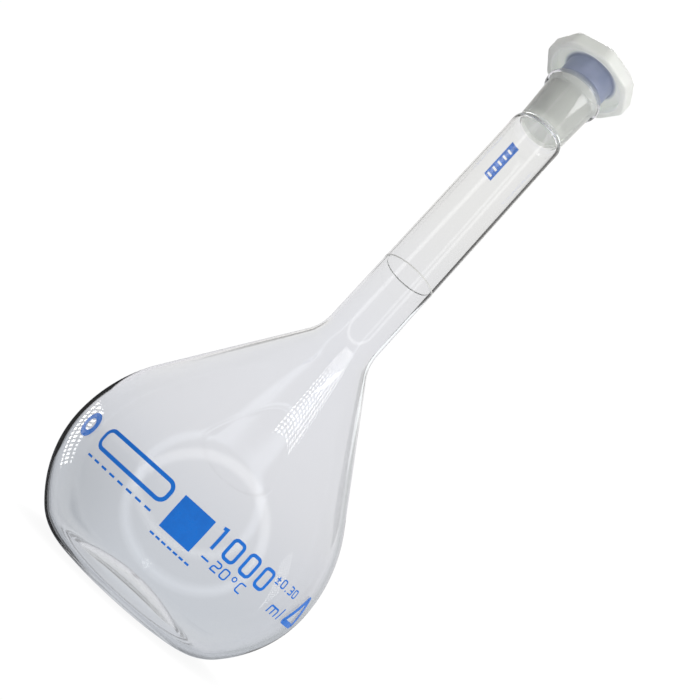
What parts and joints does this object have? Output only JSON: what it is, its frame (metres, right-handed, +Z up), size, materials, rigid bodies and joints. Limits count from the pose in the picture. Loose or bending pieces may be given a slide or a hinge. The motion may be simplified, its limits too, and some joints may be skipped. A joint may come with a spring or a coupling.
{
  "type": "volumetric flask",
  "caption": "Wide-neck pear-shaped glass volumetric flask with a pushed-up base, fill line, ground socket and octagonal hollow plastic stopper.",
  "frame": {"origin": "centre of the base, on the surface that the flask stands on", "axes": "+Z up along the flask's axis towards the stopper, -Y is the front with the capacity marks"},
  "size_m": [0.1264, 0.1267, 0.3236],
  "materials": {
    "clear_glass": "clear, fire-polished",
    "ground_glass": "ground bore, clear outside",
    "white_enamel": "fired enamel, satin",
    "blue_enamel": "fired enamel, satin",
    "natural_polypropylene": "translucent natural, moulded",
    "blue_plastic": "moulded, satin"
  },
  "bodies": {
    "flask": {"glass_body": "clear_glass", "ground_socket": "ground_glass", "graduation_ring": "white_enamel", "capacity_square": "blue_enamel", "neck_label": "blue_enamel"},
    "stopper_core": {"stopper_insert": "blue_plastic"},
    "stopper": {"stopper_shell": "natural_polypropylene"}
  },
  "joints": [
    {"name": "stopper_lift", "type": "slide", "parent": "flask", "child": "stopper_core", "axis": [0, 0, 1], "range_m": [0, 0.06]},
    {"name": "stopper_twist", "type": "hinge", "parent": "stopper_core", "child": "stopper", "pos_m": [0, 0, 0.3095], "axis": [0, 0, 1], "continuous": true}
  ]
}
